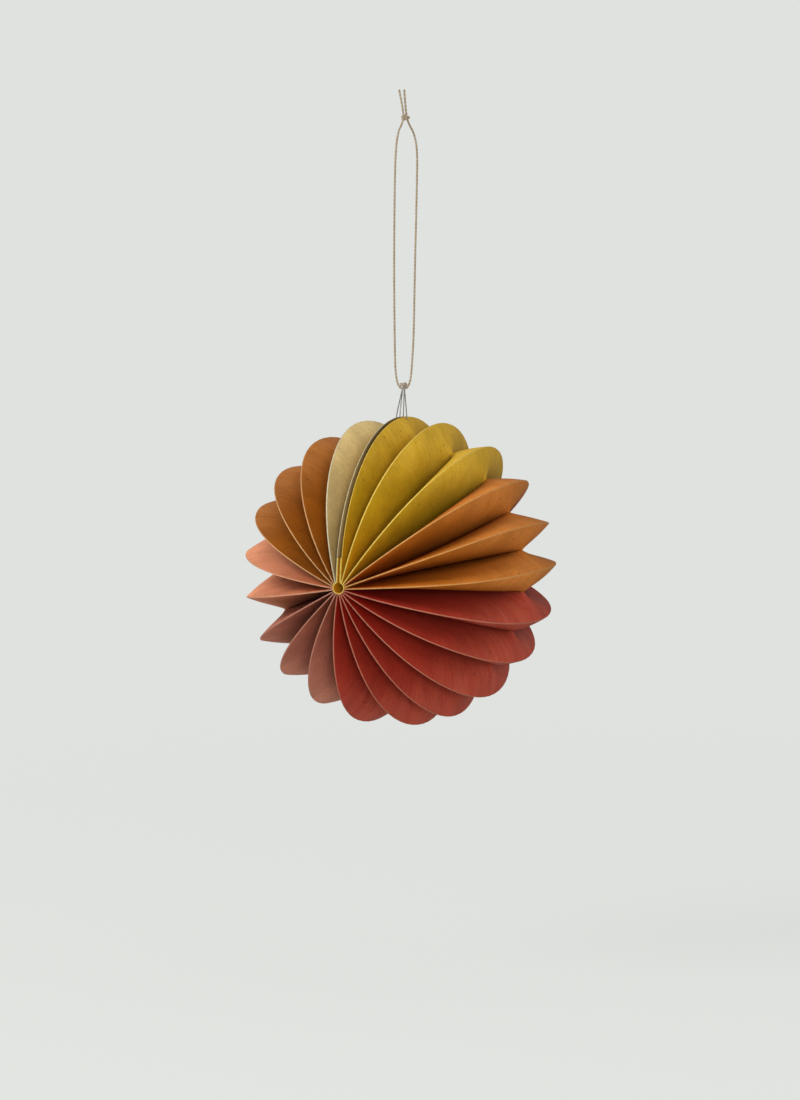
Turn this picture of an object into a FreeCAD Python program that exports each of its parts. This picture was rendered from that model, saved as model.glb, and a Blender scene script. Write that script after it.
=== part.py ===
"""A hanging ball of painted paper: half discs stood on edge round a hub and joined in pairs.

Seen from its near pole, the ball is a rosette. Each fin is a pocket of two paper leaves that share a
cut rim, and the leaves of neighbouring fins are stuck together along the ball's middle plane. The two
end leaves meet at a seam on top, where a wire ring through each hangs the ball on a loop of string.

Frame: +Z up, the hub along Y with the near pole at -Y, and the origin inside the top of the loop.
"""

import FreeCAD, Part
import math
import os

from FreeCAD import Placement, Rotation, Vector

# Driving sizes in millimetres, apart from the counts and the share that say so.
SIZES = (
    ("ball_radius", 50.0, "hub line to the tip of a fin"),
    ("pole_reach", 52.8, "middle plane to either pole"),
    ("notch_depth", 7.0, "tip of a fin down to where neighbouring leaves part"),
    ("hub_radius", 2.0, "hub line to the inner edge of the leaves"),
    ("paper_thickness", 0.2, "painted card"),
    ("leaf_bulge", 1.0, "share, 0 for straight rulings and 1 for a full pillow"),
    ("rim_cuts", 8, "count of straight cuts along a quarter turn of a rim"),
    ("seam_gap", 1.4, "between the rims of the two end leaves"),
    ("strip_wall", 0.35, "card strip round the hub hole"),
    ("strip_arm", 9.5, "hub line to the ends of the strip's arms"),
    ("strip_play", 0.01, "strip to the inner edges of the leaves"),
    ("wire_diameter", 0.35, "steel wire"),
    ("wire_reach", 9.2, "lowest point of the string's loop down to the top of the ball"),
    ("wire_play", 0.075, "wire to the paper or the string beside it"),
    ("hook_play", 0.06, "paper to the wire in its hole"),
    ("hook_radius", 0.6, "bend of a wire ring where it goes through the paper"),
    ("hook_drop", 0.45, "top of the ball down to the centre of that bend"),
    ("hook_shank", 0.9, "upright legs of a wire ring above that centre"),
    ("ring_mouth", 0.15, "between the two cut ends of a wire ring"),
    ("cord_sides", 6, "count of flats round the string and the wire"),
    ("string_diameter", 0.7, "linen string"),
    ("knot_width", 3.1, "overhand knot that joins the two ends of the string"),
    ("knot_height", 2.0, "the same knot, upright"),
    ("hitch_width", 2.5, "turns of the string round its own two halves, above the wire"),
    ("hitch_height", 1.6, "the same turns, upright"),
    ("hitch_rise", 1.6, "lowest point of the loop up to the middle of those turns"),
    ("knot_sides", 10, "count of flats round either knot"),
)

# Where the end leaves meet, and the turn from each fin to the next, in degrees seen from the near pole.
# The fins were set by hand, so the turns are uneven.
SEAM_ANGLE = 90.0
FIN_TURNS = (
    14.5, 17.5, 17, 16.5, 17.5, 16.5, 18.5, 16, 17, 18.5, 19,
    14.5, 16, 18, 17.5, 18.5, 17.5, 18, 17, 20.5, 14,
)

# Paper of each fin in the same order. The first and the last are the end leaves, which have one leaf each.
FIN_PAPERS = (
    "cream", "cream", "caramel", "caramel", "caramel", "salmon", "salmon", "rose_brown", "rose_brown",
    "rose_brown", "red", "red", "red", "red", "red", "red", "orange", "orange", "orange", "yellow",
    "yellow", "yellow",
)

# The two halves of the string, from the lowest point of its loop up through the knot to a free end.
STRING_LEFT = (
    (0.9, 0.4, -85.8), (0.15, 0.1, -85.8), (-0.6, -0.3, -84.9), (-1.1, -0.7, -83.1), (-1.4, -1.2, -79.2),
    (-1.3, -1.9, -70.7), (-1.1, -3.0, -49.0), (-0.5, -4.0, -23.0), (0.1, -4.6, -8.5), (0.6, -3.5, -2.6),
    (0.8, -1.2, -0.7), (1.0, 0.1, 1.6), (0.6, -0.1, 5.6), (-0.3, -0.6, 10.6),
)
STRING_RIGHT = (
    (0.9, 0.4, -85.8), (1.65, 0.7, -85.8), (2.35, 1.1, -84.8), (2.9, 1.6, -82.6), (3.1, 2.1, -78.0),
    (3.4, 2.9, -68.6), (3.3, 4.0, -48.0), (3.5, 5.2, -22.5), (3.4, 6.0, -8.9), (2.7, 4.8, -3.6),
    (2.0, 2.6, -1.0), (1.7, 1.0, 1.6), (1.3, 0.8, 5.6), (1.0, 0.6, 10.6),
)
# Which point of either half lies in the knot.
KNOT_POINT = 11

# Height and width of each section of a knot, as shares of half its own height and width.
KNOT_PROFILE = ((-1, 0.6), (-0.35, 1), (0.35, 1), (1, 0.6))

# Degrees from the seam's plane to the hitch's front, about the upright.
LOOP_TURN = 22.0

# Part of its shorter run that an arc takes, so that each run keeps a straight stretch between two arcs.
STRING_ARC_SHARE = 0.45
WIRE_ARC_SHARE = 0.49

# Each wire ring: its name, its side of the seam, its place along the hub line and along the hitch.
WIRE_RINGS = (("wire_ring_left", -1, 0.4, -0.25), ("wire_ring_right", 1, 1.2, 0.25))

doc = FreeCAD.newDocument("paper_rosette")
sheet = doc.addObject("Spreadsheet::Sheet", "sizes")
for row, (alias, value, meaning) in enumerate(SIZES, start=1):
    sheet.set(f"A{row}", meaning)
    sheet.set(f"B{row}", str(value))
    sheet.setAlias(f"B{row}", alias)
doc.recompute()


def size(alias):
    return float(getattr(sheet, alias))


BALL_CENTRE = Vector(0, 0, STRING_LEFT[0][2] - size("wire_reach") - size("ball_radius"))
parts = []


def keep(feature, label):
    """Give a finished sub-part its name, which is also the name of its file."""
    feature.Label = label
    parts.append(feature)
    return feature


def shape_feature(name, shape, place=None):
    feature = doc.addObject("Part::Feature", name)
    feature.Shape = shape
    feature.Placement = Placement(place or Vector(), Rotation())
    return feature


# Leaves


def seam_turn(radius):
    """Angle from the seam's middle to an end leaf's rim, which runs beside the seam at half its gap."""
    return math.asin(size("seam_gap") / 2 / radius)


def rim_azimuth(turn, radius):
    """Direction of a fin round the hub line, squeezed a little away from the seam near the hub."""
    beside_seam = seam_turn(radius)
    return math.radians(SEAM_ANGLE) + beside_seam + math.radians(turn) * (1 - beside_seam / math.pi)


def leaf_point(turn, next_turn, end, latitude, across, face):
    """A point of the leaf that stands at one fin and leans to the next.

    latitude is 0 at the tip of the rim and grows towards a pole, and end is -1 at the near pole or 1 at
    the far one. across is 0 on the middle plane, where the leaf meets the next fin's leaf, and 1 on its
    rim. The ruling between them is pushed out by the bulge. face is 0 or 1, for the leaf's two faces.
    """
    tip, hub, thickness = size("ball_radius"), size("hub_radius"), size("paper_thickness")
    rim_radius = tip * math.cos(latitude)
    valley_radius = rim_radius - size("notch_depth") * (rim_radius - hub) / (tip - hub)
    radius = valley_radius + (rim_radius - valley_radius) * across
    along = end * size("pole_reach") * math.sin(latitude) * across
    lean = (1 - across) * (1 + size("leaf_bulge") * math.sin(latitude) * across)
    start = rim_azimuth(turn, radius)
    half_pocket = (rim_azimuth(next_turn, radius) - start) / 2
    side = math.copysign(1, half_pocket)
    reach = (abs(half_pocket) * radius - thickness) * lean + thickness * face
    azimuth = start + side * reach / radius
    return Vector(radius * math.cos(azimuth), along, radius * math.sin(azimuth))


def facets(first, second):
    """Flat triangles between two rows of points. Where two points are the same, one triangle falls away."""
    triangles = []
    for a, b, c, d in zip(first, first[1:], second[1:], second):
        triangles += [(a, b, c), (a, c, d)]
    return [Part.Face(Part.makePolygon([*t, t[0]])) for t in triangles if len(set(map(tuple, t))) == 3]


def leaf_solid(turn, next_turn):
    """One half disc of card, from its middle line over a line halfway out to its cut rim, at both ends."""
    cuts = int(size("rim_cuts"))
    last = math.acos(size("hub_radius") / size("ball_radius"))
    latitudes = [last * i / cuts for i in range(cuts + 1)]
    steps = (0, 0.5, 1)
    faces = []
    for end in (-1, 1):
        front, back = (
            [[leaf_point(turn, next_turn, end, lat, across, face) for lat in latitudes] for across in steps]
            for face in (0, 1)
        )
        for middle_line, halfway, rim in (front, back):
            faces += facets(middle_line, halfway) + facets(halfway, rim)
        faces += facets(front[-1], back[-1])
        faces += facets([row[-1] for row in front], [row[-1] for row in back])
    # The inside of the solid is told from the first facet. By the tip two facets lie in one plane, which
    # can mislead it, so the list starts partway to the near pole.
    start = len(faces) // 6
    shell = Part.Shell(faces[start:] + faces[:start])
    shell.sewShape()
    return Part.makeSolid(shell)


def polygon(centre, normal, radius, sides):
    """A closed ring of straight edges round a centre, square to the normal."""
    upright = abs(normal.z) > 0.9 * normal.Length
    across = normal.cross(Vector(0, 1, 0) if upright else Vector(0, 0, 1)).normalize()
    over = across.cross(normal).normalize()
    turns = [2 * math.pi * i / sides for i in range(sides)]
    corners = [centre + across * radius * math.cos(turn) + over * radius * math.sin(turn) for turn in turns]
    return Part.makePolygon(corners + corners[:1])


def tube(path, diameter):
    """A solid with flats all round along a path, its volume set against its section times its length."""
    sides = int(size("cord_sides"))
    first = path.Edges[0]
    start, ahead = first.valueAt(first.FirstParameter), first.tangentAt(first.FirstParameter)
    ring = polygon(start, ahead, diameter / 2, sides)
    solid = path.makePipeShell([ring], True, False)
    share = solid.Volume / (Part.Face(ring).Area * path.Length)
    print(f"tube {path.Length:.1f} mm long, volume {share:.4f} of section times length")
    return solid


def rounded_path(points, share):
    """Straight runs between points, with an arc at each corner that takes a share of its shorter run."""
    points = [Vector(*p) for p in points]
    edges, start = [], points[0]
    for i in range(1, len(points) - 1):
        before, after = points[i] - points[i - 1], points[i + 1] - points[i]
        half = before.getAngle(after) / 2
        reach = share * min(before.Length, after.Length)
        radius = reach / math.tan(half)
        print(f"point {i}: turn {math.degrees(2 * half):.0f} degrees, radius {radius:.1f}")
        before.normalize()
        after.normalize()
        inward = (after - before).normalize()
        enter, leave = points[i] - before * reach, points[i] + after * reach
        crest = points[i] + inward * (radius / math.cos(half) - radius)
        edges.append(Part.makeLine(start, enter))
        edges.append(Part.Arc(enter, crest, leave).toShape())
        start = leave
    edges.append(Part.makeLine(start, points[-1]))
    return Part.Wire(edges)


def turns_of_string(name, centre, through):
    """A knot as a barrel with flats, hollowed where the string and the wires run through it."""
    rise, half_width = size(f"{name}_height") / 2, size(f"{name}_width") / 2
    up, sides = Vector(0, 0, 1), int(size("knot_sides"))
    sections = [polygon(centre + up * rise * z, up, half_width * share, sides) for z, share in KNOT_PROFILE]
    return Part.makeLoft(sections, True, True).cut([feature.Shape for feature in through])


# Wire rings

loop_right = Vector(math.cos(math.radians(LOOP_TURN)), math.sin(math.radians(LOOP_TURN)), 0)
loop_front = Vector(math.sin(math.radians(LOOP_TURN)), -math.cos(math.radians(LOOP_TURN)), 0)
loop_bottom = Vector(*STRING_LEFT[0])
ball_top = BALL_CENTRE.z + size("ball_radius")


def hook_centre(side, along):
    inner = size("seam_gap") / 2 - size("wire_play") - size("wire_diameter") / 2
    return Vector(side * (inner + size("hook_radius")), along, ball_top - size("hook_drop"))


def wire_ring(side, along, beside):
    """A narrow ring, hooked through an end leaf below and round the string's hitch above."""
    hook, bend, shank = hook_centre(side, along), size("hook_radius"), size("hook_shank")
    eye = (size("string_diameter") + size("wire_diameter")) / 2 + size("wire_play")
    above = loop_bottom + loop_right * beside + Vector(0, 0, eye)
    front, rear = above + loop_front * eye, above - loop_front * eye
    inside, outside = (hook + Vector(way * side * bend, 0, 0) for way in (-1, 1))
    up, down = Vector(0, 0, shank), Vector(0, 0, -bend)
    climb = rear - inside - up
    mouth = inside + up + climb / 2
    beyond = mouth + climb * (size("ring_mouth") / climb.Length)
    points = (beyond, rear, front, outside + up, outside + down, inside + down, inside + up, mouth)
    return tube(rounded_path(points, WIRE_ARC_SHARE), size("wire_diameter"))


def hook_hole(side, along):
    """What a ring's bend sweeps through an end leaf, a little wider than the wire."""
    centre, width = hook_centre(side, along), size("wire_diameter") / 2 + size("hook_play")
    lowest = centre - Vector(0, 0, size("hook_radius"))
    ring = Part.Face(polygon(lowest, Vector(1, 0, 0), width, int(size("cord_sides"))))
    return ring.revolve(centre, Vector(0, -side, 0), 90)


rings = []
for name, side, along, beside in WIRE_RINGS:
    print(name)
    rings.append(keep(shape_feature(name, wire_ring(side, along, beside)), name))

# Fins

rim_turns = [0.0]
for step in FIN_TURNS:
    rim_turns.append(rim_turns[-1] + step * 360 / sum(FIN_TURNS))
last_rim = len(rim_turns) - 1

for rim, paper in enumerate(FIN_PAPERS):
    number = FIN_PAPERS[: rim + 1].count(paper)
    for letter, neighbour in (("a", rim - 1), ("b", rim + 1)):
        if not 0 <= neighbour <= last_rim:
            continue
        leaf = leaf_solid(rim_turns[rim], rim_turns[neighbour])
        label = f"{paper}_fin_{number}_leaf_{letter}"
        if rim in (0, last_rim):
            label = f"{paper}_end_leaf"
            side, along = WIRE_RINGS[0 if rim == 0 else 1][1:3]
            hole = hook_hole(side, along)
            hole.translate(-BALL_CENTRE)
            leaf = leaf.cut(hole)
        keep(shape_feature(label, leaf, BALL_CENTRE), label)

# Hub strip


def primitive(kind, name, place, **expressions):
    feature = doc.addObject(kind, name)
    for field, expression in expressions.items():
        feature.setExpression(field, expression)
    feature.Placement = place
    return feature


strip_corner = BALL_CENTRE - Vector(size("seam_gap") / 2, size("pole_reach"), 0)
along_hub = Rotation(Vector(1, 0, 0), -90)
strip_start = Placement(BALL_CENTRE - Vector(0, size("pole_reach"), 0), along_hub)
outer_tube = primitive(
    "Part::Cylinder",
    "strip_outside",
    strip_start,
    Radius="sizes.hub_radius - sizes.strip_play",
    Height="2 * sizes.pole_reach",
)
inner_tube = primitive(
    "Part::Cylinder",
    "strip_hole",
    strip_start,
    Radius="sizes.hub_radius - sizes.strip_play - sizes.strip_wall",
    Height="2 * sizes.pole_reach",
)
arms = primitive(
    "Part::Box",
    "strip_arms",
    Placement(strip_corner, Rotation()),
    Length="sizes.seam_gap",
    Width="2 * sizes.pole_reach",
    Height="sizes.strip_arm",
)
slot = primitive(
    "Part::Box",
    "strip_slot",
    Placement(strip_corner + Vector(size("strip_wall"), 0, 0), Rotation()),
    Length="sizes.seam_gap - 2 * sizes.strip_wall",
    Width="2 * sizes.pole_reach",
    Height="sizes.strip_arm",
)
ball = primitive(
    "Part::Ellipsoid",
    "strip_trim",
    Placement(BALL_CENTRE, Rotation()),
    Radius1="sizes.ball_radius",
    Radius2="sizes.ball_radius",
    Radius3="sizes.pole_reach",
)
outline = doc.addObject("Part::MultiFuse", "strip_outline")
outline.Shapes = [outer_tube, arms]
hollow = doc.addObject("Part::MultiFuse", "strip_hollow")
hollow.Shapes = [inner_tube, slot]
folded = doc.addObject("Part::Cut", "strip_folded")
folded.Base, folded.Tool = outline, hollow
hub_strip = doc.addObject("Part::MultiCommon", "hub_strip")
hub_strip.Shapes = [folded, ball]
keep(hub_strip, "hub_strip")

# String, hitch and knot

halves = []
for name, points in (("string_left", STRING_LEFT), ("string_right", STRING_RIGHT)):
    print(name)
    half = tube(rounded_path(points, STRING_ARC_SHARE), size("string_diameter"))
    halves.append(keep(shape_feature(name, half), name))
knot_centre = (Vector(*STRING_LEFT[KNOT_POINT]) + Vector(*STRING_RIGHT[KNOT_POINT])) / 2
hitch_centre = loop_bottom + Vector(0, 0, size("hitch_rise"))
keep(shape_feature("top_knot", turns_of_string("knot", knot_centre, halves)), "top_knot")
keep(shape_feature("string_hitch", turns_of_string("hitch", hitch_centre, halves + rings)), "string_hitch")

doc.recompute()

for feature in doc.Objects:
    if {"Invalid", "Error"} & set(feature.State):
        raise RuntimeError(f"{feature.Name} did not build: {feature.State}")
for feature in parts:
    shape = feature.Shape
    if shape.isNull() or not shape.isValid() or not shape.Solids:
        raise RuntimeError(f"{feature.Label} has no valid solid")

os.makedirs("parts", exist_ok=True)
for feature in parts:
    feature.Shape.exportStep(f"parts/{feature.Label}.step")
print(f"{len(parts)} sub-parts written")
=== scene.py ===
"""The painted paper ball: leaves of card, hub strip, wire rings and knotted linen string, on a studio stage.

Lengths are in metres in the model's own frame: +Z up, the origin inside the top of the string's loop, and
-Y towards the near pole. Each surface is worked out with numpy as whole arrays of points on a grid.
"""

import math

import bpy
import numpy as np
from bpy.props import FloatProperty, FloatVectorProperty, IntProperty, PointerProperty
from bpy.types import Operator, Panel, PropertyGroup
from mathutils import Matrix


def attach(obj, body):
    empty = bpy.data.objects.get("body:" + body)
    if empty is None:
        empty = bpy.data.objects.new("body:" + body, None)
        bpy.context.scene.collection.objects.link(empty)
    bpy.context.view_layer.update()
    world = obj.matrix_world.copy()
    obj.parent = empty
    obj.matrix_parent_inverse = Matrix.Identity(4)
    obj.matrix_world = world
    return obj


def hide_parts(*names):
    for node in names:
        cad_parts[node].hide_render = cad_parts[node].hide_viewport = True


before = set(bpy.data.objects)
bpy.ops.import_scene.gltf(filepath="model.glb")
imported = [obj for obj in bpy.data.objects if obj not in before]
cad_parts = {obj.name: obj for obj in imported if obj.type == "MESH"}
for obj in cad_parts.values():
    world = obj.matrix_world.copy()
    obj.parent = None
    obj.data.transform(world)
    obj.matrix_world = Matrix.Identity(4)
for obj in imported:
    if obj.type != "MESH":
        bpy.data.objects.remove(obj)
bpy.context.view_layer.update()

bl_info = {
    "name": "Painted paper ball",
    "version": (1, 0, 0),
    "blender": (4, 5, 0),
    "location": "3D View > Sidebar > Paper ball",
    "description": "Builds the leaves, hub strip, wires and string of a hanging paper ball",
    "category": "Add Mesh",
}

MM = 0.001

# The fins from the seam round, seen from the near pole: the turn to the next one in degrees, and the paper.
SEAM_ANGLE = 90.0
FIN_TURNS = np.array([
    14.5, 17.5, 17, 16.5, 17.5, 16.5, 18.5, 16, 17, 18.5, 19,
    14.5, 16, 18, 17.5, 18.5, 17.5, 18, 17, 20.5, 14,
])
FIN_PAPERS = (
    "cream", "cream", "caramel", "caramel", "caramel", "salmon", "salmon", "rose_brown", "rose_brown",
    "rose_brown", "red", "red", "red", "red", "red", "red", "orange", "orange", "orange", "yellow",
    "yellow", "yellow",
)

# The bulge of leaves that puff out more or less than the others, in pairs that face each other.
PUFFED_LEAVES = {
    "orange_fin_1_leaf_a": 1.75, "red_fin_6_leaf_b": 0.25,
    "red_fin_6_leaf_a": 1.7, "red_fin_5_leaf_b": 0.3,
    "yellow_fin_1_leaf_b": 0.7, "yellow_fin_2_leaf_a": 1.3,
    "orange_fin_3_leaf_a": 1.3, "orange_fin_2_leaf_b": 0.7,
}

# The two halves of the string in millimetres, from the lowest point of the loop up to a free end.
STRING_LEFT = (
    (0.9, 0.4, -85.8), (0.15, 0.1, -85.8), (-0.6, -0.3, -84.9), (-1.1, -0.7, -83.1), (-1.4, -1.2, -79.2),
    (-1.3, -1.9, -70.7), (-1.1, -3.0, -49.0), (-0.5, -4.0, -23.0), (0.1, -4.6, -8.5), (0.6, -3.5, -2.6),
    (0.8, -1.2, -0.7), (1.0, 0.1, 1.6), (0.6, -0.1, 5.6), (-0.3, -0.6, 10.6),
)
STRING_RIGHT = (
    (0.9, 0.4, -85.8), (1.65, 0.7, -85.8), (2.35, 1.1, -84.8), (2.9, 1.6, -82.6), (3.1, 2.1, -78.0),
    (3.4, 2.9, -68.6), (3.3, 4.0, -48.0), (3.5, 5.2, -22.5), (3.4, 6.0, -8.9), (2.7, 4.8, -3.6),
    (2.0, 2.6, -1.0), (1.7, 1.0, 1.6), (1.3, 0.8, 5.6), (1.0, 0.6, 10.6),
)
# Which point of either half lies in the knot.
KNOT_POINT = 11

# Each wire ring: its node, its side of the seam, its place along the hub line and along the loop, in mm.
WIRE_RINGS = (("wire_ring_left", -1, 0.4, -0.25), ("wire_ring_right", 1, 1.2, 0.25))
# Share of a ring's rear leg from its hook up to the point where its path starts and ends.
RING_START = 0.53
# A direction that the path of a ring never takes.
SKEW = np.array([0.31, 0.87, 0.38])

# Metres between the sections of a tube, for wire and for string.
WIRE_STEP, STRING_STEP = 0.00012, 0.0002
# Metres of card across a leaf's whole UV map, and of string or wire along one unit of its own.
SHEET, REEL = 0.12, 0.01
# Faces that meet at more than this angle keep a sharp edge between them.
SHARP_ANGLE = math.radians(40)

# Where the camera stands as seen from the ball, and how far left of and above the centre it aims, in metres.
CAMERA_TURN, CAMERA_RISE = math.radians(22.0), math.radians(6.2)
CAMERA_DISTANCE, CAMERA_LENS = 2.47, 250.0
AIM_LEFT, AIM_ABOVE = 0.2 * MM, 6.8 * MM

# Each lamp: its name, the way to it from the ball, its width in metres and its power in watts.
LAMPS = (
    ("window_lamp", (-0.55, -0.75, 0.65), 1.0, 25.0),
    ("fill_lamp", (0.42, -0.9, 0.12), 0.5, 20.0),
)
LAMP_DISTANCE = 1.6
WORLD_LIGHT = 0.78

# The backdrop's colour, and the floor's half width and its depth below the ball's centre in metres.
BACKDROP = (0.745, 0.761, 0.737, 1)
FLOOR_HALF, FLOOR_DEPTH = 6.0, 0.13

# The loop of string hangs in an upright plane: its directions along that plane, and square to it.
LOOP_TURN = math.radians(22.0)
LOOP_RIGHT = np.array([math.cos(LOOP_TURN), math.sin(LOOP_TURN), 0])
LOOP_FRONT = np.array([math.sin(LOOP_TURN), -math.cos(LOOP_TURN), 0])
UP = np.array([0, 0, 1])


def length(label, words, default):
    return FloatProperty(name=label, description=words, default=default, unit="LENGTH", precision=5)


def colour(label, words, default):
    return FloatVectorProperty(name=label, description=words, default=default, subtype="COLOR", size=3)


class LeafSettings(PropertyGroup):
    """Sizes of the half discs of card."""

    ball_radius: length("Ball radius", "Hub line to the tip of a fin", 0.05)
    pole_reach: length("Pole reach", "Middle plane to either pole", 0.0528)
    notch_depth: length("Notch depth", "Tip of a fin down to where neighbouring leaves part", 0.007)
    hub_radius: length("Hub radius", "Hub line to the inner edge of the leaves", 0.002)
    card: length("Card", "Thickness of the painted card", 0.0002)
    seam_gap: length("Seam gap", "Between the rims of the two end leaves", 0.0014)
    wander: length("Wander", "How far a rim strays from its plane", 0.0004)
    bulge: FloatProperty(name="Bulge", description="0 for straight rulings, 1 for a pillow", default=1.0)
    rim_cuts: IntProperty(name="Rim cuts", description="Straight cuts on a quarter turn of a rim", default=18)
    across_steps: IntProperty(name="Steps across", description="Grid steps from valley to rim", default=14)


class StripSettings(PropertyGroup):
    """Sizes of the card strip in the hub and the seam."""

    wall: length("Wall", "Thickness of the strip", 0.00035)
    arm: length("Arm", "Hub line to the end of an arm", 0.0095)
    play: length("Play", "Strip to the inner edges of the leaves", 0.00001)


class CordSettings(PropertyGroup):
    """Sizes of the wire rings and the string."""

    wire: length("Wire", "Diameter of the steel wire", 0.00035)
    wire_reach: length("Wire reach", "Lowest point of the loop down to the top of the ball", 0.0092)
    wire_play: length("Wire play", "Wire to the paper or the string beside it", 0.000075)
    hook_radius: length("Hook radius", "Bend of a ring where it goes through the paper", 0.0006)
    hook_drop: length("Hook drop", "Top of the ball down to the centre of that bend", 0.00045)
    hook_shank: length("Hook shank", "Upright legs of a ring above that centre", 0.0009)
    string: length("String", "Diameter of the linen string", 0.0007)
    twist: length("Twist", "Length of the string in which its two plies turn once", 0.0024)
    knot_width: length("Knot width", "Overhand knot that joins the two ends", 0.0031)
    knot_height: length("Knot height", "The same knot, upright", 0.002)
    knot_depth: length("Knot depth", "Middle of the knot to its front strand", 0.00055)
    hitch_rise: length("Hitch rise", "Lowest point of the loop up to the middle of its turns", 0.0013)
    hitch_width: length("Hitch width", "Turns of the string round its two halves", 0.0025)
    hitch_height: length("Hitch height", "Middle of the first turn to the middle of the last", 0.001)
    groove: FloatProperty(name="Groove", description="Depth between the plies, share of radius", default=0.24)


class PaintSettings(PropertyGroup):
    """Colours of the painted papers with their painted shade near the hub, their cut rims, the wire and the
    string.
    """

    cream: colour("Cream", "Paint in the outer part of a leaf", (0.42, 0.31, 0.135))
    yellow: colour("Yellow", "Paint in the outer part of a leaf", (0.375, 0.222, 0.008))
    orange: colour("Orange", "Paint in the outer part of a leaf", (0.33, 0.098, 0.008))
    red: colour("Red", "Paint in the outer part of a leaf", (0.24, 0.021, 0.011))
    rose_brown: colour("Rose brown", "Paint in the outer part of a leaf", (0.31, 0.105, 0.068))
    salmon: colour("Salmon", "Paint in the outer part of a leaf", (0.44, 0.165, 0.085))
    caramel: colour("Caramel", "Paint in the outer part of a leaf", (0.22, 0.063, 0.004))
    # The colours near the hub are painted shade: darker where the leaves crowd round the hub and shade each
    # other.
    cream_deep: colour("Cream deep", "Painted shade near the hub", (0.25, 0.175, 0.065))
    cream_rim: colour("Cream rim", "Cut edge of the card", (0.34, 0.30, 0.20))
    yellow_deep: colour("Yellow deep", "Painted shade near the hub", (0.38, 0.165, 0.003))
    yellow_rim: colour("Yellow rim", "Cut edge of the card", (0.42, 0.29, 0.05))
    orange_deep: colour("Orange deep", "Painted shade near the hub", (0.36, 0.062, 0.002))
    orange_rim: colour("Orange rim", "Cut edge of the card", (0.36, 0.17, 0.05))
    red_deep: colour("Red deep", "Painted shade near the hub", (0.19, 0.005, 0.0015))
    red_rim: colour("Red rim", "Cut edge of the card", (0.28, 0.09, 0.055))
    rose_brown_deep: colour("Rose brown deep", "Painted shade near the hub", (0.21, 0.05, 0.022))
    rose_brown_rim: colour("Rose brown rim", "Cut edge of the card", (0.26, 0.11, 0.075))
    salmon_deep: colour("Salmon deep", "Painted shade near the hub", (0.42, 0.11, 0.04))
    salmon_rim: colour("Salmon rim", "Cut edge of the card", (0.36, 0.17, 0.10))
    caramel_deep: colour("Caramel deep", "Painted shade near the hub", (0.18, 0.048, 0.003))
    caramel_rim: colour("Caramel rim", "Cut edge of the card", (0.32, 0.17, 0.07))
    wire: colour("Wire", "Dull steel", (0.20, 0.19, 0.18))
    string: colour("String", "Unbleached linen", (0.207, 0.156, 0.101))


def settings():
    scene = bpy.context.scene
    return scene.paper_leaves, scene.paper_strip, scene.paper_cords, scene.paper_paint


def ball_centre():
    leaves, _, cords, _ = settings()
    return np.array([0, 0, STRING_LEFT[0][2] * MM - cords.wire_reach - leaves.ball_radius])


# Meshes


def quads(index):
    """Quads between the neighbouring points of a grid, from the array of their numbers."""
    return np.stack([index[:-1, :-1], index[:-1, 1:], index[1:, 1:], index[1:, :-1]], axis=-1).reshape(-1, 4)


def cap(ring):
    """Quads that close a ring of an even number of points, from side to side."""
    half, back = len(ring) // 2, ring[::-1]
    return np.stack([ring[: half - 1], ring[1:half], back[1:half], back[: half - 1]], axis=-1)


def outward(points, faces):
    """The same faces, turned round if the volume that they enclose comes out negative."""
    middle = points - points.mean(axis=0)
    a, b, c, d = (middle[faces[:, corner]] for corner in range(4))
    volume = (a * np.cross(b, c)).sum() + (a * np.cross(c, d)).sum()
    return faces if volume > 0 else faces[:, ::-1]


def make_piece(name, points, faces, materials, parts=None, uv=None, values=None):
    """A closed mesh from whole arrays: points (n, 3), quads (m, 4), and for each quad its material in parts.

    uv (n, 2) and each array (n,) in values belong to the points.
    """
    faces = outward(points, faces)
    mesh = bpy.data.meshes.new(name)
    mesh.vertices.add(len(points))
    mesh.vertices.foreach_set("co", points.astype(np.float32).ravel())
    mesh.loops.add(faces.size)
    mesh.loops.foreach_set("vertex_index", faces.astype(np.int32).ravel())
    mesh.polygons.add(len(faces))
    mesh.polygons.foreach_set("loop_start", np.arange(0, faces.size, 4, dtype=np.int32))
    for material in materials:
        mesh.materials.append(material)
    if parts is not None:
        mesh.polygons.foreach_set("material_index", parts.astype(np.int32))
    if uv is not None:
        corners = uv[faces.ravel()].astype(np.float32)
        mesh.uv_layers.new(name="UVMap").uv.foreach_set("vector", corners.ravel())
    for key, numbers in (values or {}).items():
        mesh.attributes.new(key, "FLOAT", "POINT").data.foreach_set("value", numbers.astype(np.float32))
    mesh.update(calc_edges=True)
    mesh.shade_smooth()
    mesh.set_sharp_from_angle(angle=SHARP_ANGLE)
    piece = bpy.data.objects.new(name, mesh)
    bpy.context.collection.objects.link(piece)
    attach(piece, "root")
    return piece


def on_sheet(flat):
    """The UV map of flat places (radius, along): the hub line at 0 and the middle plane at a half."""
    return flat / SHEET + (0, 0.5)


def rim_azimuth(turn, radius, leaves):
    """Direction of a fin round the hub line, squeezed a little away from the seam near the hub."""
    beside_seam = np.arcsin(leaves.seam_gap / 2 / radius)
    return math.radians(SEAM_ANGLE) + beside_seam + np.radians(turn) * (1 - beside_seam / math.pi)


def rim_wander(fin, latitude, leaves):
    """Degrees that a rim strays from its plane, a slow wave that is 0 at both poles and on the end leaves."""
    if fin in (0, len(FIN_PAPERS) - 1):
        return 0 * latitude
    wave = np.sin(2.1 * latitude + 2.4 * fin) + 0.5 * np.sin(4.7 * latitude + 1.3 * fin)
    return np.degrees(leaves.wander / leaves.ball_radius) * wave * np.cos(latitude) ** 0.5


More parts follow.
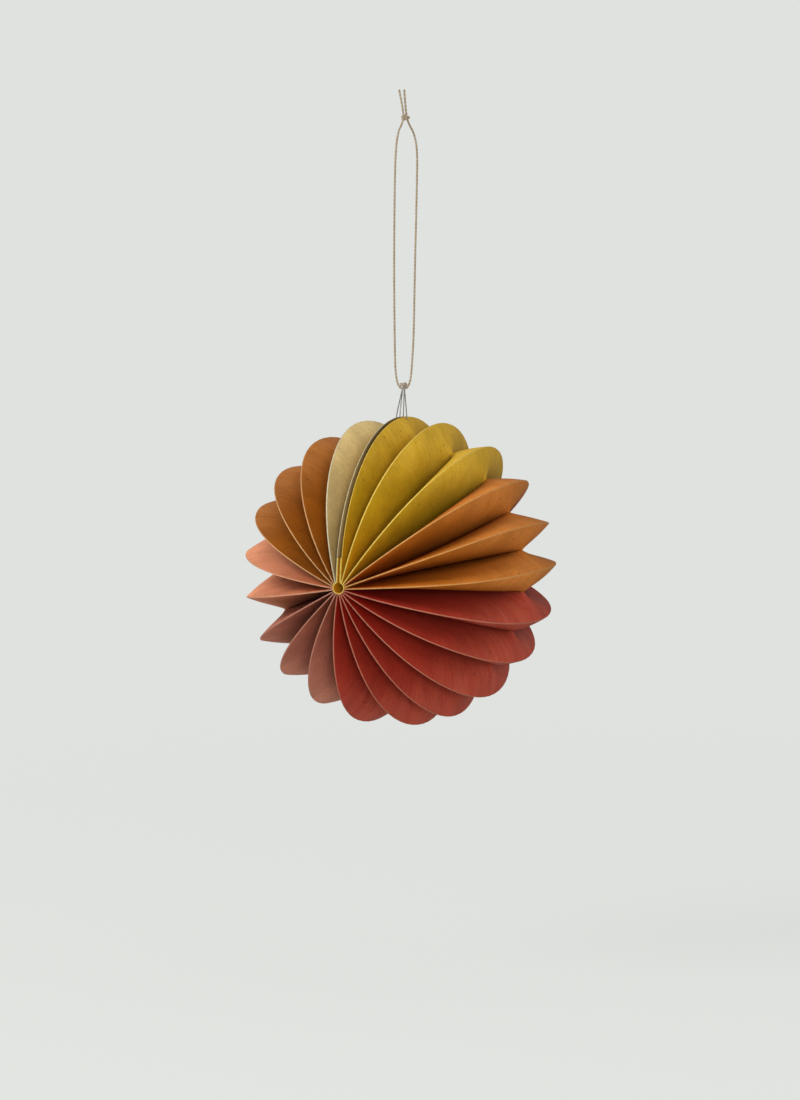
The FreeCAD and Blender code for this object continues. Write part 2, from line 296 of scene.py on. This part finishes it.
def leaf_surface(fin, neighbour, latitude, across, face, bulge, leaves):
    """A half disc of card as a surface of two parameters, and its flat place (radius, along) on the disc.

    latitude runs from the near pole over 0 at the tip to the far pole, and across runs from 0 on the middle
    plane to 1 on the cut rim. The radius goes from the valley's, which is the rim's less the notch, to the
    rim's, ball_radius * cos(latitude). The height off the middle plane is
    pole_reach * sin(latitude) * across. The arc to the next fin shrinks with (1 - across) and swells with
    the bulge. face is 0 inside the fin and 1 outside it.
    """
    turns = np.concatenate([[0], np.cumsum(FIN_TURNS * 360 / FIN_TURNS.sum())])
    rim = leaves.ball_radius * np.cos(latitude)
    valley = rim - leaves.notch_depth * (rim - leaves.hub_radius) / (leaves.ball_radius - leaves.hub_radius)
    radius = valley + (rim - valley) * across
    along = leaves.pole_reach * np.sin(latitude) * across
    lean = (1 - across) * (1 + bulge * np.abs(np.sin(latitude)) * across)
    start = rim_azimuth(turns[fin] + rim_wander(fin, latitude, leaves), radius, leaves)
    next_rim = rim_azimuth(turns[neighbour] + rim_wander(neighbour, latitude, leaves), radius, leaves)
    half_pocket = (next_rim - start) / 2
    reach = (np.abs(half_pocket) * radius - leaves.card) * lean + leaves.card * face
    azimuth = start + np.sign(half_pocket) * reach / radius
    points = np.stack([radius * np.cos(azimuth), along, radius * np.sin(azimuth)], axis=-1) + ball_centre()
    return points, np.stack([radius, along], axis=-1)


def leaf_grid(fin, neighbour, face, bulge, leaves, finer=3):
    """The leaf's surface with `finer` steps to each straight cut of the rim.

    Towards the rim the points move from the round surface onto the straight lines between the corners of the
    cuts, with the sixth power of across.
    """
    last = math.acos(leaves.hub_radius / leaves.ball_radius)
    corners = np.linspace(-last, last, 2 * leaves.rim_cuts + 1)
    places = np.linspace(0, len(corners) - 1, (len(corners) - 1) * finer + 1)
    latitude = np.interp(places, np.arange(len(corners)), corners)
    across = np.linspace(0, 1, leaves.across_steps + 1)
    shape = fin, neighbour
    exact = leaf_surface(*shape, corners[:, None], across[None, :], face, bulge, leaves)[0]
    curved, flat = leaf_surface(*shape, latitude[:, None], across[None, :], face, bulge, leaves)
    low = np.minimum(places.astype(int), len(corners) - 2)
    share = (places - low)[:, None, None]
    straight = exact[low] * (1 - share) + exact[low + 1] * share
    blend = across[None, :, None] ** 6
    return curved * (1 - blend) + straight * blend, flat, across


def make_leaf(node, fin, neighbour, materials, leaves):
    """Both faces of a half disc, its cut rim and its two ends as one closed shell.

    Once round the section, from face 0 out to the rim and back on face 1, gives the rows of a grid, and
    latitude gives its columns. On the middle plane the near half and the far half share their points. The
    quads of the cut rim have their own material.
    """
    bulge = PUFFED_LEAVES.get(node, leaves.bulge)
    inner, flat, across = leaf_grid(fin, neighbour, 0, bulge, leaves)
    outer = leaf_grid(fin, neighbour, 1, bulge, leaves)[0]
    count, columns = len(across), inner.shape[0]
    points = np.concatenate([inner, outer[:, ::-1]], axis=1).transpose(1, 0, 2).reshape(-1, 3)
    flat = np.concatenate([flat, flat[:, ::-1]], axis=1).transpose(1, 0, 2).reshape(-1, 2)
    index = np.arange(2 * count * columns).reshape(2 * count, columns)
    middle = columns // 2
    index[[0, -1], middle + 1 :] = index[[0, -1], :middle][:, ::-1]
    faces = np.vstack([quads(index), cap(index[:, 0]), cap(index[:, -1])[:, ::-1]])
    parts = np.zeros(len(faces))
    parts[(count - 1) * (columns - 1) : count * (columns - 1)] = 1
    parts[-2 * (count - 1) :] = 1
    used, faces = np.unique(faces, return_inverse=True)
    # Each leaf has a number of its own, by which its brush marks differ from the others'.
    number = np.full(len(used), 7.0 * fin + (neighbour - fin))
    piece = make_piece(
        f"{node}_card",
        points[used],
        faces.reshape(-1, 4),
        materials,
        parts,
        uv=on_sheet(flat[used]),
        values={"leaf_number": number},
    )
    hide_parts(node)
    return piece


def tube(path, radius, beside, columns, plies=0, twist=1.0, groove=0.0):
    """A tube round a path, as a surface of the length along it and the angle round it.

    Each ring lies square to the path, and its angle 0 lies square to beside too, a direction that the path
    never takes. With plies, the radius falls by the groove, a share of it, and rises again with the cosine
    of the angle less the twist so far, so that the plies wind round each other. Returns points, quads, how
    far each point stands out of the groove, and the UV map.
    """
    ahead = np.gradient(path, axis=0)
    across = np.cross(ahead, beside)
    over = np.cross(ahead, across)
    across /= np.linalg.norm(across, axis=1, keepdims=True)
    over /= np.linalg.norm(over, axis=1, keepdims=True)
    run = np.concatenate([[0], np.cumsum(np.linalg.norm(np.diff(path, axis=0), axis=1))])
    angle = np.linspace(0, 2 * np.pi, columns, endpoint=False)
    swell = np.abs(np.cos((angle - 2 * np.pi * run[:, None] / twist) * plies / 2))
    reach = radius * (1 - groove + groove * swell)
    ring = across[:, None] * np.cos(angle)[:, None] + over[:, None] * np.sin(angle)[:, None]
    points = path[:, None] + ring * reach[..., None]
    index = np.arange(len(path) * columns).reshape(-1, columns)
    faces = quads(np.hstack([index, index[:, :1]]).T)
    faces = np.vstack([faces, cap(index[0]), cap(index[-1])[:, ::-1]])
    uv = np.stack([np.repeat(run, columns) / REEL, np.tile(angle / 2 / np.pi, len(path))], axis=-1)
    return points.reshape(-1, 3), faces, swell.ravel(), uv


def spline_points(corners, steps=12):
    """A quadratic spline by its corners: it starts and ends on them and touches the middle of each run."""
    corners = np.array(corners)
    middles = (corners[1:-2] + corners[2:-1]) / 2
    starts, ends = np.vstack([corners[:1], middles]), np.vstack([middles, corners[-1:]])
    share = np.linspace(0, 1, steps + 1)[None, 1:, None]
    turning = 2 * corners[1:-1, None] * share * (1 - share)
    arcs = starts[:, None] * (1 - share) ** 2 + turning + ends[:, None] * share**2
    return np.vstack([corners[:1], arcs.reshape(-1, 3)])


def evenly(path, step):
    """The same path with points a step apart."""
    run = np.concatenate([[0], np.cumsum(np.linalg.norm(np.diff(path, axis=0), axis=1))])
    wanted = np.linspace(0, run[-1], int(run[-1] / step))
    return np.stack([np.interp(wanted, run, path[:, axis]) for axis in range(3)], axis=-1)


def nurbs_route(points):
    """Points along a NURBS spline of order 3 by its control points, as its own curve gives them."""
    curve = bpy.data.curves.new("route", "CURVE")
    curve.dimensions = "3D"
    spline = curve.splines.new("NURBS")
    spline.points.add(len(points) - 1)
    spline.points.foreach_set("co", np.c_[np.array(points) * MM, np.ones(len(points))].ravel())
    spline.order_u = 3
    spline.use_endpoint_u = True
    curve.resolution_u = 24
    holder = bpy.data.objects.new("route", curve)
    mesh = bpy.data.meshes.new_from_object(holder)
    route = np.empty(len(mesh.vertices) * 3)
    mesh.vertices.foreach_get("co", route)
    bpy.data.objects.remove(holder)
    bpy.data.curves.remove(curve)
    bpy.data.meshes.remove(mesh)
    return route.reshape(-1, 3)


# Materials


def rgba(shade, times=1.0, plus=0.0):
    """A colour made darker or paler, with an alpha of 1."""
    return (*(np.array(shade) * times + plus), 1)


class Finish:
    """A new material, with short ways to add its nodes."""

    def __init__(self, name, base, roughness, specular=0.3):
        self.material = bpy.data.materials.new(name)
        self.material.use_nodes = True
        self.nodes, self.links = self.material.node_tree.nodes, self.material.node_tree.links
        self.shader = self.nodes["Principled BSDF"]
        self.shader.inputs["Base Color"].default_value = rgba(base)
        self.shader.inputs["Roughness"].default_value = roughness
        self.shader.inputs["Specular IOR Level"].default_value = specular

    def add(self, kind, sources=(), **fields):
        """A node with its fields set. sources pairs each input with a value or with another node's output."""
        made = self.nodes.new(kind)
        for field, value in fields.items():
            setattr(made, field, value)
        for socket, source in dict(sources).items():
            if isinstance(source, bpy.types.NodeSocket):
                self.links.new(source, made.inputs[socket])
            else:
                made.inputs[socket].default_value = source
        return made

    def calc(self, operation, *sources, clamp=False):
        return self.add("ShaderNodeMath", enumerate(sources), operation=operation, use_clamp=clamp).outputs[0]

    def vector(self, operation, *sources):
        return self.add("ShaderNodeVectorMath", enumerate(sources), operation=operation)

    def scaled(self, vector, factors):
        return self.vector("MULTIPLY", vector, factors).outputs[0]

    def ramp(self, value, low, high, start=0.0, end=1.0):
        """The value from low to high, eased, as a number from start to end."""
        sources = {0: value, 1: low, 2: high, 3: start, 4: end}
        return self.add("ShaderNodeMapRange", sources, interpolation_type="SMOOTHSTEP").outputs[0]

    def mix(self, factor, first, second, blend="MIX"):
        sources = {0: factor, 6: first, 7: second}
        return self.add("ShaderNodeMix", sources, data_type="RGBA", blend_type=blend).outputs[2]

    def shaded(self, body, value):
        """A colour times a number."""
        grey = self.add("ShaderNodeCombineColor", {0: value, 1: value, 2: value}).outputs[0]
        return self.mix(1.0, body, grey, "MULTIPLY")

    def noise(self, vector, scale, detail=3.0, rough=0.55, w=None):
        sources = {"Vector": vector, "Scale": scale, "Detail": detail, "Roughness": rough}
        if w is not None:
            sources["W"] = w
        dimensions = "3D" if w is None else "4D"
        return self.add("ShaderNodeTexNoise", sources, noise_dimensions=dimensions).outputs[0]

    def on_disc(self, leaves):
        """Where a point lies on its leaf's disc: off the hub line and along it, as shares of the ball's."""
        sheet = self.add("ShaderNodeUVMap", uv_map="UVMap").outputs[0]
        flat = self.vector("SUBTRACT", sheet, (0, 0.5, 0)).outputs[0]
        disc = self.scaled(flat, (SHEET / leaves.ball_radius, SHEET / leaves.pole_reach, 0))
        return self.add("ShaderNodeSeparateXYZ", {0: disc}).outputs[:2]

    def bump(self, height, strength, distance):
        sources = {"Strength": strength, "Distance": distance, "Height": height}
        self.links.new(self.add("ShaderNodeBump", sources).outputs[0], self.shader.inputs["Normal"])

    def paint(self, colour_socket):
        self.links.new(colour_socket, self.shader.inputs["Base Color"])


def brush_marks(finish, out, along, leaf):
    """Fine streaks and broad bands, both from 0 to 1.

    They run out to the rim: noise over the angle round the hub and, much slower, over the distance from its
    line.
    """
    round_hub = finish.calc("ARCTAN2", along, out)
    polar = finish.add("ShaderNodeCombineXYZ", {0: round_hub, 1: out}).outputs[0]
    fine = finish.noise(finish.scaled(polar, (62, 2.0, 1)), 1.0, 4.0, 0.6, leaf)
    broad = finish.noise(finish.scaled(polar, (8, 3, 1)), 1.0, 2.0, 0.5, leaf)
    return finish.ramp(fine, 0.34, 0.68), finish.ramp(broad, 0.3, 0.7)


def dark_fibres(finish, flat, leaf):
    """Short spots in the middle of cells that are longer one way, in about half of the cells."""
    apart = finish.scaled(leaf, (3.7, 5.3, 0))
    stretched = finish.vector("MULTIPLY_ADD", flat, (9, 14, 1), apart).outputs[0]
    cells = finish.add("ShaderNodeTexVoronoi", {"Vector": stretched, "Scale": 1.0}, voronoi_dimensions="2D")
    chosen = finish.add("ShaderNodeSeparateColor", {0: cells.outputs["Color"]}).outputs[0]
    spots = finish.ramp(cells.outputs["Distance"], 0.015, 0.042, 0.75, 0.0)
    return finish.calc("MULTIPLY", spots, finish.ramp(chosen, 0.45, 0.6))


def painted_card(name, paint, deep, leaves):
    """Paint on card, read from the leaf's flat place on its disc, which the UV map holds.

    The colour darkens towards the hub as painted shade of the crowded leaves, with slow clouds, a fine mottle
    and a few dark fibres. In the outer part the paint is thin and paler, in brush marks.
    """
    finish = Finish(name, paint, 0.72, specular=0.06)
    flat = finish.add("ShaderNodeUVMap", uv_map="UVMap").outputs[0]
    leaf = finish.add("ShaderNodeAttribute", attribute_name="leaf_number").outputs["Fac"]
    out, along = finish.on_disc(leaves)
    streaks, bands = brush_marks(finish, out, along, leaf)
    outer = finish.ramp(out, 0.55, 0.95)
    # Painted shade: the colour darkens from the outer part towards the hub.
    body = finish.mix(finish.ramp(out, 0.0, 0.6, 1.0, 0.0), rgba(paint), rgba(deep))
    worn = finish.calc("MULTIPLY_ADD", streaks, 0.45, 0.22)
    worn = finish.calc("MULTIPLY_ADD", bands, 0.2, worn)
    thin = rgba(paint, 1.2, (0.05, 0.047, 0.028))
    body = finish.mix(finish.calc("MULTIPLY", worn, outer, clamp=True), body, thin)
    clouds = finish.noise(flat, 9.0, 4.0, 0.6, leaf)
    body = finish.shaded(body, finish.ramp(clouds, 0.3, 0.7, 0.84, 1.12))
    mottle = finish.noise(flat, 130.0, 5.0, 0.65, leaf)
    body = finish.shaded(body, finish.ramp(mottle, 0.3, 0.7, 0.9, 1.08))
    finish.paint(finish.mix(dark_fibres(finish, flat, leaf), body, rgba(paint, 0.18)))
    grain = finish.noise(flat, 900.0, 2.0)
    height = finish.calc("MULTIPLY_ADD", streaks, finish.calc("MULTIPLY", outer, 0.8), grain)
    finish.bump(height, 0.3, 0.00012)
    return finish.material


def cut_card(name, rim, leaves):
    """The bare cut edge of the card, a little uneven in colour, and darker towards the hub as painted shade.
    """
    finish = Finish(name, rim, 0.8, specular=0.15)
    place = finish.add("ShaderNodeTexCoord").outputs["Object"]
    uneven = finish.ramp(finish.noise(place, 900.0), 0.3, 0.7)
    body = finish.mix(uneven, rgba(rim, 0.8), rgba(rim))
    out, _ = finish.on_disc(leaves)
    # Painted shade: the cut edge darkens towards the hub.
    finish.paint(finish.shaded(body, finish.ramp(out, 0.05, 0.6, 0.7, 1.0)))
    return finish.material


def dull_wire(name, steel):
    """Grey steel wire with fine draw marks along it."""
    finish = Finish(name, steel, 0.42, specular=0.5)
    finish.shader.inputs["Metallic"].default_value = 0.85
    place = finish.add("ShaderNodeTexCoord").outputs["Object"]
    marks = finish.ramp(finish.noise(place, 1800.0), 0.35, 0.65)
    finish.paint(finish.mix(marks, rgba(steel, 0.7), rgba(steel)))
    return finish.material


def twisted_linen(name, linen):
    """Linen of two plies, darker in the groove between them as painted shade, with slubs and fine fibres."""
    finish = Finish(name, linen, 0.9, specular=0.1)
    finish.shader.inputs["Sheen Weight"].default_value = 0.25
    finish.shader.inputs["Sheen Roughness"].default_value = 0.5
    ply = finish.add("ShaderNodeAttribute", attribute_name="ply").outputs["Fac"]
    place = finish.add("ShaderNodeTexCoord").outputs["Object"]
    slubs = finish.ramp(finish.noise(place, 420.0, 3.0), 0.35, 0.7)
    fibres = finish.noise(place, 5200.0, 2.0)
    # Painted shade: the colour darkens in the groove between the plies.
    body = finish.mix(finish.ramp(ply, 0.0, 0.6), rgba(linen, 0.42), rgba(linen))
    finish.paint(finish.mix(finish.calc("MULTIPLY", slubs, 0.45), body, rgba(linen, 0.9, 0.09)))
    finish.bump(fibres, 0.5, 0.00008)
    return finish.material


# Pieces


class BALL_OT_stage(Operator):
    """Set the floor, the backdrop, the lamps and the camera"""

    bl_idname = "paper_ball.stage"
    bl_label = "Stage"

    def execute(self, context):
        scene = context.scene
        scene.view_settings.view_transform = "Standard"
        turn, rise = CAMERA_TURN, CAMERA_RISE
        right = np.array([math.cos(turn), math.sin(turn), 0])
        back = np.array([math.sin(turn) * math.cos(rise), -math.cos(turn) * math.cos(rise), math.sin(rise)])
        aim = ball_centre() - right * AIM_LEFT + np.cross(back, right) * AIM_ABOVE
        lens = bpy.data.cameras.new("camera")
        lens.lens, lens.clip_end = CAMERA_LENS, 20.0
        scene.camera = self.stand(context, "camera", lens, aim + back * CAMERA_DISTANCE, back)
        self.light_world(scene)
        self.lay_floor(context)
        for name, way, size, power in LAMPS:
            light = bpy.data.lights.new(name, "AREA")
            light.shape, light.size, light.energy = "DISK", size, power
            way = np.array(way) / np.linalg.norm(way)
            self.stand(context, name, light, ball_centre() + way * LAMP_DISTANCE, way)
        return {"FINISHED"}

    def stand(self, context, name, data, place, back):
        """An object at a place that looks along the opposite of back, with its top upwards."""
        item = bpy.data.objects.new(name, data)
        context.collection.objects.link(item)
        right = np.cross((0, 0, 1), back)
        right /= np.linalg.norm(right)
        pose = np.eye(4)
        pose[:3] = np.stack([right, np.cross(back, right), back, place], axis=-1)
        item.matrix_world = Matrix(pose.tolist())
        return item

    def light_world(self, scene):
        """An even pale world, which the camera and reflections see as the backdrop's colour."""
        world = bpy.data.worlds.new("studio")
        world.use_nodes = True
        scene.world = world
        nodes, links = world.node_tree.nodes, world.node_tree.links
        light, seen = nodes["Background"], nodes.new("ShaderNodeBackground")
        light.inputs["Color"].default_value = (1, 0.985, 0.96, 1)
        light.inputs["Strength"].default_value = WORLD_LIGHT
        seen.inputs["Color"].default_value = BACKDROP
        mixed = nodes.new("ShaderNodeMixShader")
        links.new(self.seen_rays(nodes, links), mixed.inputs[0])
        links.new(light.outputs[0], mixed.inputs[1])
        links.new(seen.outputs[0], mixed.inputs[2])
        links.new(mixed.outputs[0], nodes["World Output"].inputs["Surface"])

    def seen_rays(self, nodes, links):
        """1 for a ray from the camera, a reflection or something clear, otherwise 0."""
        path = nodes.new("ShaderNodeLightPath")
        either, any_of = nodes.new("ShaderNodeMath"), nodes.new("ShaderNodeMath")
        either.operation = any_of.operation = "MAXIMUM"
        links.new(path.outputs["Is Camera Ray"], either.inputs[0])
        links.new(path.outputs["Is Glossy Ray"], either.inputs[1])
        links.new(either.outputs[0], any_of.inputs[0])
        links.new(path.outputs["Is Transmission Ray"], any_of.inputs[1])
        return any_of.outputs[0]

    def lay_floor(self, context):
        """A pale floor that keeps the ball's soft shadow near it and fades into the backdrop further out."""
        half, low = FLOOR_HALF, ball_centre()[2] - FLOOR_DEPTH
        mesh = bpy.data.meshes.new("floor")
        corners = [(-half, -half, low), (half, -half, low), (half, half, low), (-half, half, low)]
        mesh.from_pydata(corners, [], [(0, 1, 2, 3)])
        floor = bpy.data.objects.new("floor", mesh)
        context.collection.objects.link(floor)
        finish = Finish("pale_floor", (0.55, 0.56, 0.54), 0.9, specular=0.0)
        glow = finish.add("ShaderNodeEmission", {"Color": BACKDROP})
        place = finish.add("ShaderNodeTexCoord").outputs["Object"]
        level = finish.scaled(place, (1, 1, 0))
        far = finish.ramp(finish.vector("LENGTH", level).outputs["Value"], 0.1, 0.8, 0.84, 1.0)
        seen = finish.calc("MULTIPLY", self.seen_rays(finish.nodes, finish.links), far)
        sources = {0: seen, 1: finish.shader.outputs[0], 2: glow.outputs[0]}
        mixed = finish.add("ShaderNodeMixShader", sources)
        finish.links.new(mixed.outputs[0], finish.nodes["Material Output"].inputs["Surface"])
        mesh.materials.append(finish.material)


class BALL_OT_string(Operator):
    """Build the two halves of the linen string, the knot at their top and the hitch at their bottom"""

    bl_idname = "paper_ball.string"
    bl_label = "String"

    def execute(self, context):
        _, _, cords, paint = settings()
        linen = twisted_linen("twisted_linen", paint.string)
        knot = self.tied("top_knot", self.knot_path(cords), LOOP_FRONT, cords, linen)
        hitch = self.tied("string_hitch", self.hitch_path(cords), UP, cords, linen)
        halves = (("string_left", STRING_LEFT, "knot", knot), ("string_right", STRING_RIGHT, "bare", hitch))
        for name, points, far_end, on_it in halves:
            route = evenly(nurbs_route(points), STRING_STEP)
            piece = self.tied(name, route, LOOP_FRONT, cords, linen)
        return {"FINISHED"}

    def tied(self, name, path, beside, cords, linen):
        """A run of the string as a tube of two plies."""
        plies = {"plies": 2, "twist": cords.twist, "groove": cords.groove}
        points, faces, ply, uv = tube(path, cords.string / 2, beside, columns=14, **plies)
        piece = make_piece(f"linen_{name}", points, faces, [linen], uv=uv, values={"ply": ply})
        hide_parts(name)
        return piece

    def knot_path(self, cords):
        """An overhand knot pulled tight: a trefoil, two turns whose width swells three times on the way."""
        centre = (np.array(STRING_LEFT[KNOT_POINT]) + STRING_RIGHT[KNOT_POINT]) * MM / 2
        angle = np.linspace(0, 2 * np.pi, 180)[:, None]
        swell = (2 + np.cos(3 * angle)) / 3
        wide = (cords.knot_width - cords.string) / 2
        tall = (cords.knot_height - cords.string) / 2
        flat = LOOP_RIGHT * wide * swell * np.cos(2 * angle) + UP * tall * swell * np.sin(2 * angle)
        return centre + flat + LOOP_FRONT * cords.knot_depth * np.sin(3 * angle)

    def hitch_path(self, cords):
        """Two turns round the upright, a helix that draws in at both ends."""
        middle = np.array(STRING_LEFT[0]) * MM + (0, 0, cords.hitch_rise)
        share = np.linspace(-1, 1, 120)[:, None]
        reach = (cords.hitch_width - cords.string) / 2 * (1 - 0.5 * np.abs(share) ** 6)
        angle = share * 2 * np.pi + LOOP_TURN
        helix = np.hstack([reach * np.cos(angle), reach * np.sin(angle), share * cords.hitch_height / 2])
        return middle + helix


class BALL_OT_wires(Operator):
    """Build the two wire rings that hang the end leaves on the string"""

    bl_idname = "paper_ball.wires"
    bl_label = "Wire rings"

    def execute(self, context):
        leaves, _, cords, paint = settings()
        steel = dull_wire("dull_steel_wire", paint.wire)
        inner = leaves.seam_gap / 2 - cords.wire_play - cords.wire / 2
        eye = (cords.string + cords.wire) / 2 + cords.wire_play
        top = ball_centre()[2] + leaves.ball_radius - cords.hook_drop
        up, down = np.array([0, 0, cords.hook_shank]), np.array([0, 0, -cords.hook_radius])
        for name, side, along, beside in WIRE_RINGS:
            hook = np.array([side * (inner + cords.hook_radius), along * MM, top])
            inside, outside = (hook + (way * side * cords.hook_radius, 0, 0) for way in (-1, 1))
            above = np.array(STRING_LEFT[0]) * MM + LOOP_RIGHT * beside * MM + UP * eye
            rear, fore = above - LOOP_FRONT * eye, above + LOOP_FRONT * eye
            start = inside + up + (rear - inside - up) * RING_START
            corners = (start, rear, fore, outside + up, outside + down, inside + down, inside + up, start)
            path = evenly(spline_points(corners), WIRE_STEP)
            points, faces, _, uv = tube(path, cords.wire / 2, SKEW, columns=10)
            piece = make_piece(f"steel_{name}", points, faces, [steel], uv=uv)
            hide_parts(name)
        return {"FINISHED"}


class BALL_OT_leaves(Operator):
    """Build each half disc of painted card"""

    bl_idname = "paper_ball.leaves"
    bl_label = "Leaves"

    def execute(self, context):
        leaves, _, _, paint = settings()
        last = len(FIN_PAPERS) - 1
        finishes = {}
        for paper in sorted(set(FIN_PAPERS)):
            body, deep, rim = (getattr(paint, paper + ending) for ending in ("", "_deep", "_rim"))
            card = painted_card(f"painted_{paper}_card", body, deep, leaves)
            finishes[paper] = card, cut_card(f"cut_{paper}_card", rim, leaves)
        for fin, paper in enumerate(FIN_PAPERS):
            number = FIN_PAPERS[: fin + 1].count(paper)
            for letter, neighbour in (("a", fin - 1), ("b", fin + 1)):
                if 0 <= neighbour <= last:
                    ending = "end_leaf" if fin in (0, last) else f"fin_{number}_leaf_{letter}"
                    piece = make_leaf(f"{paper}_{ending}", fin, neighbour, finishes[paper], leaves)
        return {"FINISHED"}


class BALL_OT_strip(Operator):
    """Build the strip of card that lines the hub and runs up the seam"""

    bl_idname = "paper_ball.strip"
    bl_label = "Hub strip"

    def execute(self, context):
        """The section carried along the hub line, as a surface of the way round it and a share of the length.

        The strip ends on the ball's own outline: pole_reach times the root of 1 less (radius / ball_radius)
        squared.
        """
        leaves, strip, _, paint = settings()
        section = self.section(leaves, strip)
        radius = np.linalg.norm(section, axis=1)
        end = leaves.pole_reach * np.sqrt(1 - (radius / leaves.ball_radius) ** 2)
        share = np.linspace(-1, 1, 41)
        along = end[:, None] * share[None, :]
        rows, columns = along.shape
        level, upright = (np.repeat(section[:, axis, None], columns, 1) for axis in (0, 1))
        points = np.stack([level, along, upright], axis=-1).reshape(-1, 3) + ball_centre()
        index = np.arange(rows * columns).reshape(rows, columns)
        sides, ends = quads(np.vstack([index, index[:1]])), [cap(index[:, 0]), cap(index[:, -1])[:, ::-1]]
        faces = np.vstack([sides, *ends])
        parts = np.repeat([0, 1], [len(sides), rows - 2])
        uv = on_sheet(np.stack([np.repeat(radius, columns), along.ravel()], axis=-1))
        # A number that no leaf has, for the strip's own brush marks.
        values = {"leaf_number": np.full(len(points), 3.0)}
        # The strip's colour near the hub is painted shade, as on the leaves.
        card = painted_card("painted_strip_card", paint.orange, paint.yellow_deep, leaves)
        cut = cut_card("cut_strip_card", paint.yellow_rim, leaves)
        piece = make_piece("hub_strip_card", points, faces, [card, cut], parts, uv=uv, values=values)
        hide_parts("hub_strip")
        return {"FINISHED"}

    def section(self, leaves, strip):
        """The closed outline of the strip, seen along the hub: both faces of a path of the strip's middle.

        The path comes down one arm, goes round the hub in a ring that is open at the top, and climbs the
        other arm.
        """
        ring = leaves.hub_radius - strip.play - strip.wall / 2
        arm = leaves.seam_gap / 2 - strip.wall / 2
        open_angle = math.asin(arm / ring)
        angle = np.pi / 2 + np.linspace(open_angle, 2 * np.pi - open_angle, 60)
        round_hub = np.stack([ring * np.cos(angle), ring * np.sin(angle)], axis=-1)
        climb = np.linspace(strip.arm, round_hub[0, 1], 16)[:-1]
        left = np.stack([np.full_like(climb, -arm), climb], axis=-1)
        path = np.vstack([left, round_hub, left[::-1] * (-1, 1)])
        ahead = np.gradient(path, axis=0)
        square = np.stack([-ahead[:, 1], ahead[:, 0]], axis=-1)
        square *= strip.wall / 2 / np.linalg.norm(square, axis=1, keepdims=True)
        return np.vstack([path - square, (path + square)[::-1]])


class BALL_PT_panel(Panel):
    """Lists the pieces of the paper ball"""

    bl_idname = "BALL_PT_panel"
    bl_label = "Paper ball"
    bl_space_type = "VIEW_3D"
    bl_region_type = "UI"
    bl_category = "Paper ball"

    def draw(self, context):
        for operator in OPERATORS:
            self.layout.operator(operator.bl_idname)


GROUPS = (
    ("paper_leaves", LeafSettings),
    ("paper_strip", StripSettings),
    ("paper_cords", CordSettings),
    ("paper_paint", PaintSettings),
)
OPERATORS = (BALL_OT_stage, BALL_OT_string, BALL_OT_wires, BALL_OT_leaves, BALL_OT_strip)


def register():
    for name, group in GROUPS:
        bpy.utils.register_class(group)
        setattr(bpy.types.Scene, name, PointerProperty(type=group))
    for item in (*OPERATORS, BALL_PT_panel):
        bpy.utils.register_class(item)


def unregister():
    for item in reversed((*OPERATORS, BALL_PT_panel)):
        bpy.utils.unregister_class(item)
    for name, group in reversed(GROUPS):
        delattr(bpy.types.Scene, name)
        bpy.utils.unregister_class(group)


def main():
    register()
    bpy.ops.paper_ball.stage()
    bpy.ops.paper_ball.string()
    bpy.ops.paper_ball.wires()
    bpy.ops.paper_ball.leaves()
    bpy.ops.paper_ball.strip()


if __name__ == "__main__":
    main()
